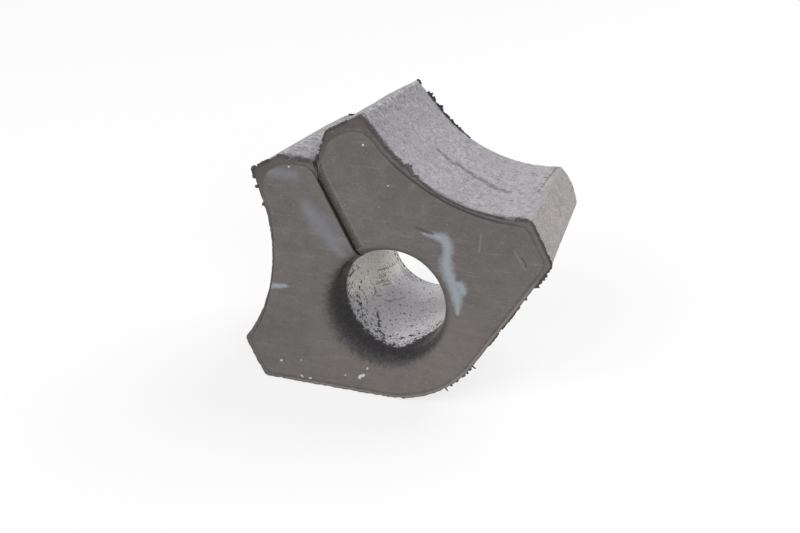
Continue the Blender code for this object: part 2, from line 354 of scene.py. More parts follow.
def beside_cut(flat):
    """Place across the knife cut: 0 on it, 1 at the outer edge of the wide soft roll on its right, and -1
    at the edge of the crisp one on its left."""
    if flat.y < CUT_FROM:
        return FAR
    across = flat.x + cut_drift(flat.y)
    return across / (RIGHT_ROLL_WIDTH if across > 0.0 else LEFT_ROLL_WIDTH)


def slit_roll(flat):
    """How far the end face sinks beside the knife cut."""
    across = beside_cut(flat)
    if across > 0.0:
        return RIGHT_ROLL_SINK * max(0.0, 1.0 - across) ** 1.7
    return LEFT_ROLL_SINK * max(0.0, 1.0 + across) ** 2


def bent_point(i, j, k):
    """Place on the block for a place in the straight grid: round the bore, inward, and along it."""
    inset, outer_y, bore_r, bore_y, gap = stations[k]
    t = j / RADIAL_STEPS
    w = t - END_BUNCHING * math.sin(2.0 * math.pi * t)
    flat = outer_point(i, inset).lerp(bore_point(i, bore_r, gap), w)
    end_k = min(k, station_steps - k)
    if 0 < end_k < lip_steps:
        outer_y = math.copysign(HALF_LEN - (HALF_LEN - abs(outer_y)) * ledge_share[i], outer_y)
    if STRIP_FIRST <= end_k < lip_steps:
        outer_y += math.copysign(STRIP_RISE * waistness[i] * STRIP_SHARES[end_k - STRIP_FIRST], outer_y)
    y = outer_y + (bore_y - outer_y) * w
    sunk = slit_roll(flat) * max(0.0, 1.0 - (HALF_LEN - abs(y)) / ROLL_DEPTH)
    past = flat.x - HALF_WIDTH + FLARE_WIDTH
    if past > 0.0 and y > FLARE_FROM and FLARE_LOW < flat.y < FLARE_HIGH:
        swell = math.sin(math.pi * (flat.y - FLARE_LOW) / (FLARE_HIGH - FLARE_LOW))
        swell *= min(1.0, (y - FLARE_FROM) / FLARE_RUN) ** 2
        flat = flat + Vector((REAR_FLARE * swell * past / FLARE_WIDTH, 0.0))
    return flat, y - math.copysign(sunk, y)


# A flat grid is the front end. Its border grows rearward, station by station, and a copy closes the rear.
block_mesh = bmesh.new()
bmesh.ops.create_grid(block_mesh, x_segments=loop_steps, y_segments=RADIAL_STEPS, size=0.5)
station = block_mesh.verts.layers.int.new("station")
front_faces = list(block_mesh.faces)
rim_edges = [edge for edge in block_mesh.edges if edge.is_boundary]
for k in range(1, station_steps + 1):
    grown = bmesh.ops.extrude_edge_only(block_mesh, edges=rim_edges)["geom"]
    for item in grown:
        if isinstance(item, bmesh.types.BMVert):
            item[station] = k
    rim_edges = [item for item in grown if isinstance(item, bmesh.types.BMEdge) and item.is_boundary]
back = bmesh.ops.duplicate(block_mesh, geom=front_faces)["geom"]
for item in back:
    if isinstance(item, bmesh.types.BMVert):
        item[station] = station_steps
for vert in block_mesh.verts:
    vert.co.z = vert[station]
bmesh.ops.remove_doubles(block_mesh, verts=block_mesh.verts, dist=1e-5)

# Smears of dried grease on the front face, and a yellowish tide mark, stains and soot in the bore, each
# along a line of points with a half width at each: on the face in the outline's own millimetres, in the
# bore round and along.
SMEARS = (((13.2, 11.2, 0.3), (14.5, 10.3, 0.6), (15.8, 9.4, 1.3), (17.0, 8.3, 1.6), (17.0, 6.8, 1.6),
           (16.3, 5.4, 1.4), (15.2, 3.8, 1.7), (14.7, 1.7, 1.6), (14.4, -0.6, 1.7), (14.1, -2.7, 1.7),
           (13.6, -4.4, 1.3), (12.6, -6.4, 0.6)),
          ((14.8, -0.6, 1.2), (15.8, -1.4, 1.3), (15.7, -2.8, 1.0)),
          ((-23.2, 13.6, 0.7), (-20.8, 12.9, 0.9), (-18.3, 11.9, 0.6)))
HAZES = (((-9.4, 34.2, 0.9), (-7.4, 33.0, 1.5), (-5.0, 31.4, 1.3)),
         ((-6.0, 25.4, 1.4), (-5.1, 21.8, 2.2), (-4.5, 18.6, 2.6), (-4.2, 15.4, 2.2), (-4.0, 13.6, 1.1)))
TINTS = (((-9.0, -13.0, 3.0), (-10.5, -5.0, 4.6), (-12.0, 4.0, 5.0), (-13.0, 10.0, 4.8),
          (-15.0, 18.0, 4.0)),)
STAINS = (((-19.8, 17.6, 1.4), (-21.4, 18.2, 1.9), (-23.6, 17.4, 1.2)),)
SOOTS = (((33.4, -17.0, 5.0), (33.0, -13.5, 5.0), (31.6, -13.0, 4.4), (28.0, -16.0, 4.4),
          (24.5, -18.6, 3.4), (20.5, -19.8, 2.4)),
         ((-35.7, -17.0, 5.0), (-36.1, -13.5, 5.0)))
NO_MARK = -1.5
LEFT_CUT_START = 0.4
GROOVE_LEAST = 0.35


def mark_depth(point, lines):
    """How far inside the nearest mark a point lies: 1 on its middle line, 0 at its edge, then less."""
    best = NO_MARK
    for line in lines:
        for (au, av, aw), (bu, bv, bw) in zip(line, line[1:]):
            a = Vector((au, av))
            along = Vector((bu, bv)) - a
            t = max(0.0, min(1.0, (point - a).dot(along) / along.length_squared))
            width = aw + (bw - aw) * t
            best = max(best, 1.0 - (point - a - along * t).length / width)
    return best


# What the material reads at each point: how far it lies in from the rim and out of the bore's lip, whether
# it is on the outside or in the bore, its place across the cut, and how deep inside each mark it is
MARK_NAMES = ("rim", "lip", "side", "bore", "cut", "groove", "strip", "smear", "haze", "tint", "stain",
              "soot")
# The rear lip's marks run out sooner. The bore's colour starts this many reaches past the lip and is full
# after a run in mm, and the walls of the cut take the lip's colour as if they lay that far inside it.
REAR_LIP_PACE = 4.0
BORE_FROM = 1.4
BORE_RUN = 1.2
IN_CUT_LIP = 3.0
# Depth in mm of the slow waves and of the finer unevenness in each place, and of the nibbled rim
UNEVENNESS = {"face": (0.06, 0.03), "side": (0.12, 0.06), "bore": (0.05, 0.06), "cut": (0.0, 0.02)}
NIBBLE_DEPTH = 0.2
SLOW_SIZE = 9.0
FINE_SIZE = 2.2
NIBBLE_SIZE = 0.8
layers = {name: block_mesh.verts.layers.float.new(name) for name in MARK_NAMES}
moves = {}
for vert in block_mesh.verts:
    i = round((vert.co.x + 0.5) * loop_steps)
    j = round((vert.co.y + 0.5) * RADIAL_STEPS)
    k = vert[station]
    flat, y = bent_point(i, j, k)
    end_k = min(k, station_steps - k)
    inset = rim_inset(i, stations[k][0])
    reach = LIP_REACH if y < 0.0 else REAR_LIP_REACH
    for name in ("smear", "haze", "tint", "stain", "soot"):
        vert[layers[name]] = NO_MARK
    vert[layers["lip"]] = -FAR
    vert[layers["cut"]] = FAR
    if j == 0:
        vert[layers["rim"]] = inset if end_k < lip_steps - 1 else -(HALF_LEN - LEDGE_DEPTH - abs(y))
        vert[layers["side"]] = max(0.0, min(1.0, (end_k - lip_steps + 2) / 2.0))
        if y < 0.0 and GROOVE_FIRST <= end_k < STRIP_FIRST:
            vert[layers["groove"]] = GROOVE_LEAST + (1.0 - GROOVE_LEAST) * waistness[i]
        if y < 0.0 and STRIP_FIRST <= end_k <= lip_steps:
            vert[layers["strip"]] = waistness[i]
    elif j == RADIAL_STEPS:
        inward = HALF_LEN - abs(y) + BORE_R + reach - flat.length
        vert[layers["rim"]] = FAR
        vert[layers["lip"]] = inward if y < 0.0 else inward * REAR_LIP_PACE
        vert[layers["bore"]] = max(0.0, min(1.0, (inward - BORE_FROM * reach) / BORE_RUN))
        around = math.atan2(flat.x, flat.y) * BORE_R
        for name, lines in (("tint", TINTS), ("stain", STAINS), ("soot", SOOTS)):
            vert[layers[name]] = mark_depth(Vector((around, y)), lines)
    else:
        vert[layers["rim"]] = inset + (flat - outer_point(i, stations[k][0])).length
        vert[layers["lip"]] = BORE_R + reach - flat.length if end_k == 0 else IN_CUT_LIP
    if y > 0.0:
        vert[layers["rim"]] = min(FAR, vert[layers["rim"]] + 1.0) if end_k < lip_steps else -FAR
    if end_k == 0 and j > 0:
        across = beside_cut(flat)
        vert[layers["cut"]] = across if across >= 0.0 else LEFT_CUT_START - across
    elif i in (0, loop_steps) and 0 < j < RADIAL_STEPS:
        vert[layers["cut"]] = 0.0
    if end_k == 0 and y < 0.0:
        for name, lines in (("smear", SMEARS), ("haze", HAZES)):
            vert[layers[name]] = mark_depth(flat, lines)
    vert.co = Vector((flat.x, y, flat.y))
    # Moulded rubber is never quite flat: slow waves, a finer unevenness and a nibbled rim
    slow = 0.5 + 0.5 * noise.noise(vert.co / SLOW_SIZE)
    fine = 0.5 + 0.5 * noise.noise(vert.co / FINE_SIZE + Vector((7.0, 3.0, 1.0)))
    nibble = max(0.0, 0.2 + noise.noise(vert.co / NIBBLE_SIZE + Vector((0.0, 5.0, 9.0))))
    where = "face" if end_k == 0 else "side" if j == 0 else "bore" if j == RADIAL_STEPS else "cut"
    slow_depth, fine_depth = UNEVENNESS[where]
    moves[vert] = slow_depth * slow + fine_depth * fine
    if where == "side" and STRIP_FIRST <= end_k <= lip_steps + 1:
        moves[vert] += NIBBLE_DEPTH * nibble
bmesh.ops.recalc_face_normals(block_mesh, faces=block_mesh.faces)
if block_mesh.calc_volume(signed=True) < 0.0:
    bmesh.ops.reverse_faces(block_mesh, faces=block_mesh.faces)
block_mesh.normal_update()
shifts = {vert: vert.normal * depth for vert, depth in moves.items()}
for vert, shift in shifts.items():
    vert.co = place(vert.co.x - shift.x, vert.co.y - shift.y, vert.co.z - shift.z)
    vert.co.z = max(vert.co.z, 0.0)
for face in block_mesh.faces:
    face.smooth = True


def linked_object(name, bm):
    """Object in the scene with the finished mesh, which is freed."""
    mesh = bpy.data.meshes.new(name)
    bm.to_mesh(mesh)
    bm.free()
    made = bpy.data.objects.new(name, mesh)
    bpy.context.scene.collection.objects.link(made)
    return made


rubber_block = linked_object("rubber_block_skin", block_mesh)


def hex_rgb(code):
    """Linear colour, with alpha, from an sRGB hex value such as 6B6763."""
    parts = [int(code[k:k + 2], 16) / 255.0 for k in (0, 2, 4)]
    return [c / 12.92 if c <= 0.04045 else ((c + 0.055) / 1.055) ** 2.4 for c in parts] + [1.0]


def add(tree, kind, inputs=None, output=0, **settings):
    """Adds one node with its settings, sets or links its inputs, and gives one of its outputs."""
    node = tree.nodes.new(kind)
    for key, value in settings.items():
        setattr(node, key, value)
    for key, value in (inputs or {}).items():
        if isinstance(value, bpy.types.NodeSocket):
            tree.links.new(value, node.inputs[key])
        else:
            node.inputs[key].default_value = value
    return node.outputs[output]


def emptied(owner):
    """Node tree of a new material or world, without its default nodes."""
    owner.use_nodes = True
    owner.node_tree.nodes.clear()
    return owner.node_tree


def show(tree, kind, shader):
    """Puts a shader on the surface of a tree's output node."""
    tree.links.new(shader, tree.nodes.new(kind).inputs["Surface"])


def coated(tree, colour, coats):
    """Colour with thin coats laid over it in turn: what drives it, where it starts and is full, how
    strong it gets, and its own colour."""
    for drive, start, full, strength, tint in coats:
        cover = add(tree, "ShaderNodeMapRange", {"Value": drive, "From Min": start, "From Max": full,
                                                 "To Max": strength}, interpolation_type="SMOOTHSTEP")
        colour = add(tree, "ShaderNodeMix", {0: cover, 6: colour, 7: hex_rgb(tint)}, 2, data_type="RGBA")
    return colour


# Weathered moulded rubber. Carbon-black rubber dulls to a brown grey, and blooms to a chalky lilac grey
# where dust has dried on it, so the ends read darker than the sides and the bore. The bore's lip and
# the rims are rubbed back to black.
rubber = bpy.data.materials.new("weathered_moulded_rubber")
tree = emptied(rubber)
spot = add(tree, "ShaderNodeTexCoord", output="Object")
to_axis = Matrix.Rotation(SEAT_ANGLE, 3, "Y") @ (place(0.0, 0.0, 0.0) / -MM)
mm = add(tree, "ShaderNodeMapping", {"Vector": spot, "Scale": (1000.0, 1000.0, 1000.0),
                                     "Rotation": (0.0, SEAT_ANGLE, 0.0), "Location": to_axis})
painted = {name: add(tree, "ShaderNodeAttribute", output="Fac", attribute_name=name)
           for name in MARK_NAMES}
# Cloud sizes are real millimetres: slow waves of bloom, pea-sized blots, dried drops, the grain of the
# rubber, and crumbs of dirt
broad, middle, blots, grain, crumbs = [
    add(tree, "ShaderNodeTexNoise", {"Vector": mm, "Scale": 1.0 / size, "Detail": detail, "Roughness": 0.6})
    for size, detail in ((14.0, 2.0), (3.4, 4.0), (1.2, 4.0), (0.4, 2.0), (0.75, 3.0))]
# The dust on the sides was wiped along the bore, so its blots and grains are longer that way
wiped = add(tree, "ShaderNodeMapping", {"Vector": mm, "Scale": (1.0, 0.5, 1.0)})
drifts, dust, grit = [
    add(tree, "ShaderNodeTexNoise",
        {"Vector": wiped, "Scale": 1.0 / size, "Detail": detail, "Roughness": 0.7})
    for size, detail in ((5.0, 4.0), (1.1, 4.0), (0.36, 3.0))]
rubbed = add(tree, "ShaderNodeMapping", {"Vector": spot, "Scale": (140.0, 500.0, 1700.0)})
scuffs = add(tree, "ShaderNodeTexNoise", {"Vector": rubbed, "Scale": 1.0, "Detail": 3.0, "Roughness": 0.6})
place_u, place_v = [add(tree, "ShaderNodeSeparateXYZ", {0: mm}, axis) for axis in (0, 2)]
around = add(tree, "ShaderNodeMath", {0: place_u, 1: place_v}, operation="ARCTAN2")
fanned = add(tree, "ShaderNodeCombineXYZ", {0: around, 1: painted["lip"], 2: 0.0})
fan_scaled = add(tree, "ShaderNodeVectorMath", {0: fanned, 1: (26.0, 0.5, 1.0)}, operation="MULTIPLY")
hairs = add(tree, "ShaderNodeTexNoise",
            {"Vector": fan_scaled, "Scale": 1.0, "Detail": 3.0, "Roughness": 0.65})


def frayed(drive, *clouds):
    """Drive plus clouds, each followed by its strength, which break up the edge of whatever it steers. A
    cloud averages a half."""
    for cloud, amount in zip(clouds[::2], clouds[1::2]):
        drive = add(tree, "ShaderNodeMath", {0: cloud, 1: amount, 2: drive}, operation="MULTIPLY_ADD")
    return drive


def off_from(drive, value):
    """How far a drive is from a value, on either side of it."""
    off = add(tree, "ShaderNodeMath", {0: drive, 1: value}, operation="SUBTRACT")
    return add(tree, "ShaderNodeMath", {0: off}, operation="ABSOLUTE")


PIT_CORE = 0.55


def pitted(place_at, spacing, size, share):
    """Small round pits, at most one to each cell of the given spacing, in a share of the cells."""
    cells = add(tree, "ShaderNodeTexVoronoi", {"Vector": place_at, "Scale": 1.0 / spacing})
    chance = add(tree, "ShaderNodeSeparateColor", {0: cells.node.outputs["Color"]})
    missed = add(tree, "ShaderNodeMath", {0: chance, 1: share}, operation="SUBTRACT")
    missed = add(tree, "ShaderNodeMath", {0: missed, 1: 0.0}, operation="MAXIMUM")
    off = frayed(cells, missed, 6.0)
    return add(tree, "ShaderNodeMapRange", {"Value": off, "From Min": size / spacing,
                                            "From Max": PIT_CORE * size / spacing})


def nearness(line):
    """Nearness to a thin line on the skin, of points with one half width: 1 on it, 0 at its edge."""
    *points, width = line
    best = None
    for start, end in zip(points, points[1:]):
        along = Vector(end) - Vector(start)
        away = add(tree, "ShaderNodeVectorMath", {0: mm, 1: start}, operation="SUBTRACT")
        share = add(tree, "ShaderNodeVectorMath", {0: away, 1: along / along.length_squared}, "Value",
                    operation="DOT_PRODUCT")
        share = add(tree, "ShaderNodeClamp", {0: share})
        reached = add(tree, "ShaderNodeVectorMath", {0: along, 3: share}, operation="SCALE")
        off = add(tree, "ShaderNodeVectorMath", {0: away, 1: reached}, "Value", operation="DISTANCE")
        best = add(tree, "ShaderNodeMath", {0: off, 1: best}, operation="MINIMUM") if best else off
    return add(tree, "ShaderNodeMath", {0: best, 1: -1.0 / width, 2: 1.0}, operation="MULTIPLY_ADD")


def nearest_of(lines):
    """The greatest nearness to any of several lines."""
    found = nearness(lines[0])
    for line in lines[1:]:
        found = add(tree, "ShaderNodeMath", {0: found, 1: nearness(line)}, operation="MAXIMUM")
    return found


def on_waist(u, y):
    """Point of the right waist or the crown above it, by its sideways place and its place along the bore."""
    right = sorted([p for p in rim_loop if p.x > 13.0 and p.y > 5.0], key=lambda p: p.x)
    after = min(len(right) - 1, max(1, len([p for p in right if p.x < u])))
    low, high = right[after - 1], right[after]
    return (u, y, low.lerp(high, (u - low.x) / (high.x - low.x)).y)


def in_bore(bearing, y):
    """Point of the bore's wall, by its bearing from the knife cut in degrees and its place along."""
    return (BORE_R * math.sin(math.radians(bearing)), y, BORE_R * math.cos(math.radians(bearing)))


# Short strokes left by a tool on the bore's upper left, scars on its lower left, and clots of black rubber
# round its mouth, as bearing and place
HATCH_ENDS = (((-78.1, 5.1), (-83.0, 8.2)), ((-84.7, 4.8), (-89.0, 8.2)), ((-87.3, 4.2), (-91.3, 8.3)),
              ((-87.9, 2.2), (-94.5, 6.6)), ((-89.1, 1.5), (-98.8, 8.1)), ((-96.1, 3.8), (-103.2, 8.4)),
              ((-90.9, -0.4), (-95.7, 0.0)), ((-92.4, 0.5), (-95.9, -1.0)), ((-95.9, -1.0), (-95.9, -2.8)),
              ((-95.9, -2.8), (-99.4, -3.7)), ((-98.7, -1.6), (-103.8, 0.8)), ((-115.1, 1.0), (-119.4, 4.2)),
              ((-122.0, 4.3), (-126.5, 7.4)), ((-152.9, 9.6), (-160.2, 11.6)),
              ((-110.3, 0.2), (-116.2, 2.0)), ((-87.4, 11.8), (-91.0, 15.6)), ((-81.0, 6.4), (-85.6, 10.4)))
SCAR_LINES = (((-108.3, -5.4), (-112.2, -5.8), (-114.6, -7.2), (-119.1, -8.1), (-122.8, -10.3), 0.75),
              ((-123.5, -12.8), (-127.0, -11.9), 0.5), ((-152.7, -5.5), (-155.0, -5.2), 0.5),
              ((-162.7, -10.6), (-163.2, -10.2), 0.6), ((-169.0, -10.9), (-169.4, -10.6), 0.5))
CLOT_SPOTS = ((169.2, -8.4), (166.5, -7.5), (177.1, -15.1), (-160.1, -10.4), (-153.0, -11.8),
              (-149.6, -15.5), (-135.9, -14.2), (-116.5, -14.7), (-108.1, -13.0), (-93.6, -12.3),
              (-90.1, -10.0), (-80.6, -9.7), (-75.4, -7.5), (-71.8, -5.7), (-132.4, -12.8))
# Torn, blackened rubber on the lip's upper left
SCRIBBLES = (((-3.7, -19.2, 10.7), (-6.1, -16.5, 9.2), (-6.6, -17.6, 8.9), (-8.4, -16.4, 7.3),
              (-9.6, -15.2, 5.6), 0.8),
             ((-8.3, -11.3, 7.3), (-8.5, -12.6, 7.1), 0.9),
             ((-3.8, -20.4, 11.4), (-5.3, -20.2, 10.6), (-7.0, -19.7, 9.2), 0.6))
FACE_Y = -20.95
# A scratch over the grease, a light scratch near the right foot with a painted shadow beside it, and drops
# of white paint
SCRATCH_AND_SHADOW_LINES = (((13.0, FACE_Y, 12.4), (13.7, FACE_Y, 11.7), (14.6, FACE_Y, 10.8), (15.5, FACE_Y, 10.1), 0.4),
             ((29.2, FACE_Y, -0.7), (29.4, FACE_Y, -1.8), (29.2, FACE_Y, -2.6), 0.25))
LIGHT_LINES = (((28.5, FACE_Y, 0.9), (28.6, FACE_Y, -0.8), (28.6, FACE_Y, -2.1), (28.8, FACE_Y, -3.3), 0.25),
               ((24.1, FACE_Y, 6.5), (23.2, FACE_Y, 5.0), (22.2, FACE_Y, 3.4), 0.3))
PAINT = (((-28.2, FACE_Y, -2.4), (-28.1, FACE_Y, -2.4), 0.3),
         ((-23.8, FACE_Y, -3.9), (-23.7, FACE_Y, -3.9), 0.16),
         ((-24.2, FACE_Y, -8.2), (-23.8, FACE_Y, -8.3), 0.22),
         ((-16.2, FACE_Y, -10.3), (-16.1, FACE_Y, -10.3), 0.16),
         ((-13.4, FACE_Y, -11.9), (-13.0, FACE_Y, -11.7), (-12.4, FACE_Y, -11.7), 0.4),
         ((-10.9, FACE_Y, -10.7), (-10.7, FACE_Y, -10.6), 0.26),
         ((-25.6, FACE_Y, -7.0), (-25.4, FACE_Y, -7.5), 0.18),
         ((-5.1, FACE_Y, 33.3), (-5.0, FACE_Y, 33.3), 0.2),
         ((10.9, FACE_Y, 30.9), (11.0, FACE_Y, 30.9), 0.24),
         ((11.7, FACE_Y, 21.9), (11.8, FACE_Y, 21.9), 0.16),
         ((11.5, FACE_Y, 35.0), (11.8, FACE_Y, 35.1), 0.3),
         ((-4.6, -19.6, -10.9), (-4.5, -19.6, -10.9), 0.24))
# Cracks, creases and pits in the bloom of the right waist and the crown's edge above it
CRACKS = ((on_waist(16.9, 0.3), on_waist(17.8, 0.0), on_waist(18.7, -0.5), 1.1),
          (on_waist(18.9, 0.3), on_waist(19.8, 0.2), on_waist(21.6, -0.9), on_waist(23.6, -2.0),
           on_waist(25.5, -3.4), on_waist(27.2, -3.7), 1.4),
          (on_waist(33.3, 20.0), on_waist(32.7, 10.7), 0.36),
          (on_waist(32.7, 10.7), on_waist(32.2, -1.4), 0.24))
PITS = [(on_waist(u, y), on_waist(u + 0.3, y), 0.5)
        for u, y in ((18.8, 18.5), (26.5, 11.9), (29.3, 12.7), (31.9, 10.5), (24.8, 2.6), (28.6, -9.1))]
HATCHING = [(in_bore(*first), in_bore(*last), 0.26) for first, last in HATCH_ENDS]
SCARS = [[in_bore(*end) for end in line] + [width] for *line, width in SCAR_LINES]
CLOTS = [(in_bore(phi, y), in_bore(phi, y + 0.3), 0.7) for phi, y in CLOT_SPOTS]

# Dirt lies in a band along the front rim of the sides, wider up the waist and on the side flat. On the face
# a painted highlight runs along the ledge's bevel inside the rim low down, and painted shade darkens the
# ledge under the crown.
stained = add(tree, "ShaderNodeMapRange", {"Value": place_v, "From Min": 8.0, "From Max": 22.0,
                                           "To Min": -1.1, "To Max": 0.7})
at_side = add(tree, "ShaderNodeMapRange",
              {"Value": place_u, "From Min": 32.4, "From Max": 33.2, "To Max": 1.4})
stained = add(tree, "ShaderNodeMath", {0: painted["rim"], 1: stained})
stained = add(tree, "ShaderNodeMath", {0: stained, 1: at_side})
low_only = add(tree, "ShaderNodeMapRange", {"Value": place_v, "From Min": -7.0, "From Max": -2.0})
# Painted highlight: a light line on the ledge's bevel inside the rim, only low down
rim_highlight = off_from(frayed(painted["rim"], blots, 0.4), 0.75)
rim_highlight = add(tree, "ShaderNodeMath", {0: rim_highlight, 1: low_only})
# Painted shade on the ledge under the crown, high up and close to the rim
ledge_shade = frayed(place_v, painted["rim"], -6.0, middle, 6.0)
face = coated(tree, hex_rgb("5A5655"), (
    (broad, 0.4, 0.62, 1.0, "5F5B59"),
    (place_v, 10.0, -16.0, 0.8, "6A6561"),
    (place_u, 6.0, 20.0, 0.36, "524E4D"),
    (middle, 0.5, 0.72, 0.4, "696561"),
    (middle, 0.48, 0.3, 0.3, "575352"),
    (blots, 0.52, 0.74, 0.35, "544F4C"),
    (scuffs, 0.56, 0.72, 0.4, "77716B"),
    (scuffs, 0.42, 0.3, 0.35, "534E4B"),
    (grain, 0.56, 0.72, 0.3, "7A746D"),
    (grain, 0.42, 0.28, 0.3, "4F4B49"),
    # painted shade on the ledge under the crown
    (ledge_shade, 29.0, 34.0, 0.7, "47413E"),
    # painted highlight on the ledge's bevel low down
    (rim_highlight, 0.35, 0.08, 0.42, "877D77"),
    (pitted(mm, 0.9, 0.2, 0.08), 0.0, 1.0, 0.5, "8A857F")))
crest_dirt = frayed(painted["rim"], blots, 2.6, crumbs, 1.6, at_side, -0.9, place_v, 0.03)
chalk = coated(tree, hex_rgb("969498"), (
    (drifts, 0.4, 0.6, 1.0, "A8A6AA"),
    (place_v, 14.0, 5.0, 0.5, "B9B6BA"),
    (frayed(place_v, drifts, 16.0), 29.0, 41.0, 0.45, "868487"),
    (frayed(drifts, dust, 0.9), 0.82, 1.3, 0.6, "706D73"),
    # painted highlight along the crown's top
    (place_v, 35.2, 36.1, 0.85, "C2C0C3"),
    # painted highlight: the bloom grows lighter to the left of the cut
    (place_u, -1.0, -6.0, 0.5, "BDBBBF"),
    (frayed(place_v, blots, 34.0), 50.0, 55.5, 0.7, "68666C"),
    (frayed(place_u, middle, 0.8), 33.3, 33.8, 0.7, "98918B"),
    (dust, 0.44, 0.74, 0.52, "757278"),
    (grit, 0.5, 0.74, 0.6, "605D64"),
    (grit, 0.48, 0.28, 0.55, "C9C6CA"),
    (pitted(mm, 0.7, 0.18, 0.22), 0.0, 1.0, 0.6, "504D53"),
    (frayed(nearest_of(CRACKS), blots, 2.8, grit, 1.6), 2.15, 3.0, 0.7, "545157"),
    (frayed(nearest_of(PITS), crumbs, 1.0), 0.8, 1.2, 0.85, "3C3A3F"),
    (frayed(stained, dust, 2.8), 0.3, 1.3, 0.85, "47434A"),
    (crest_dirt, 0.0, 1.6, 0.78, "4F4B52")))
wall = coated(tree, hex_rgb("E4E1E7"), (
    (middle, 0.45, 0.7, 0.45, "C6C3CB"),
    # painted shade on the bore's left wall, then painted light over its right wall
    (place_u, -4.0, -10.5, 0.75, "A8A9AA"),
    (place_u, -6.0, 1.0, 0.95, "F8F5F6"),
    (frayed(painted["tint"], middle, 1.6), -0.1, 1.2, 0.95, "F2EEE2"),
    (frayed(painted["tint"], drifts, 2.4, hairs, 1.0), 1.5, 2.3, 0.5, "C2C4BA"),
    (hairs, 0.5, 0.68, 0.45, "A3A0A7"),
    (blots, 0.52, 0.7, 0.3, "A5A2A9"),
    (grain, 0.52, 0.7, 0.6, "8F8C93"),
    (grain, 0.44, 0.3, 0.5, "ECE9E6"),
    (frayed(nearest_of(HATCHING), grain, 0.8, crumbs, 0.8), 0.7, 1.5, 0.65, "6E6B70"),
    (frayed(nearest_of(SCARS), crumbs, 3.0), 1.9, 2.3, 0.9, "2F2D31"),
    (frayed(painted["stain"], crumbs, 1.6), 0.6, 1.8, 0.6, "828086")))
colour = add(tree, "ShaderNodeMix", {0: painted["side"], 6: face, 7: chalk}, 2, data_type="RGBA")
colour = add(tree, "ShaderNodeMix", {0: painted["bore"], 6: colour, 7: wall}, 2, data_type="RGBA")

# The dark ring round the bore reaches deepest at its upper left and furthest over the face at its lower
# left. Black crumbs lie thick next to it and thin out down the bore.
lean_in = add(tree, "ShaderNodeVectorMath", {0: mm, 1: (0.17, 0.0, -0.07)}, "Value", operation="DOT_PRODUCT")
lean_out = add(tree, "ShaderNodeVectorMath", {0: mm, 1: (-0.085, 0.0, -0.035)}, "Value",
               operation="DOT_PRODUCT")
ring_depth = add(tree, "ShaderNodeMath", {0: painted["lip"], 1: lean_in})
ring_inner = frayed(ring_depth, crumbs, 4.0, grain, 3.0, hairs, 2.4)
soot = add(tree, "ShaderNodeMapRange", {"Value": frayed(painted["soot"], crumbs, 1.8, grain, 0.8),
                                        "From Min": 1.25, "From Max": 2.3, "To Max": -9.5})
ring_inner = add(tree, "ShaderNodeMath", {0: ring_inner, 1: soot})
ring_start = add(tree, "ShaderNodeMath", {0: painted["lip"], 1: lean_out})
ring_outer = frayed(ring_start, hairs, 3.0, crumbs, 2.2)
ring_strength = add(tree, "ShaderNodeMapRange", {"Value": lean_out, "From Min": -0.9, "From Max": 0.6,
                                                 "To Min": 0.35, "To Max": 0.94})
in_ring = add(tree, "ShaderNodeMapRange", {"Value": ring_outer, "From Min": 1.2, "From Max": 5.6,
                                           "To Max": ring_strength}, interpolation_type="SMOOTHSTEP")
ring = add(tree, "ShaderNodeMapRange", {"Value": ring_inner, "From Min": 13.0, "From Max": 10.6,
                                        "To Max": in_ring}, interpolation_type="SMOOTHSTEP")
ring_worn = frayed(ring, grain, 1.2, hairs, 1.6)
lip_line = off_from(frayed(painted["lip"], grain, 1.0), 4.6)
crumb_share = add(tree, "ShaderNodeMapRange", {"Value": ring_inner, "From Min": 21.0, "From Max": 12.6,
                                               "To Min": 0.22, "To Max": 1.1})
crumb_share = add(tree, "ShaderNodeMath", {0: crumb_share, 1: painted["bore"], 2: -0.12},
                  operation="MULTIPLY_ADD")
soot_crumbs = add(tree, "ShaderNodeMapRange",
                  {"Value": painted["soot"], "From Min": -0.8, "From Max": 0.3, "To Max": 1.5})
soot_crumbs = add(tree, "ShaderNodeMath", {0: soot_crumbs, 1: painted["bore"], 2: -0.12},
                  operation="MULTIPLY_ADD")
crumb_share = add(tree, "ShaderNodeMath", {0: crumb_share, 1: soot_crumbs}, operation="MAXIMUM")
clot_share = add(tree, "ShaderNodeMath", {0: crumb_share, 1: 0.4}, operation="MULTIPLY")
edge_line = off_from(frayed(painted["rim"], blots, 0.5), 0.25)
# Painted shade in the soft valley right of the knife cut and along the cut itself
cut_valley_shade = frayed(painted["cut"], blots, 1.0, grain, 0.8)
cut_shade = frayed(painted["cut"], crumbs, 3.0, grain, 1.0)
# Painted highlight on the rolls beside the knife cut, at the outer ridge of the right one
cut_ridge_highlight = off_from(painted["cut"], 1.0)

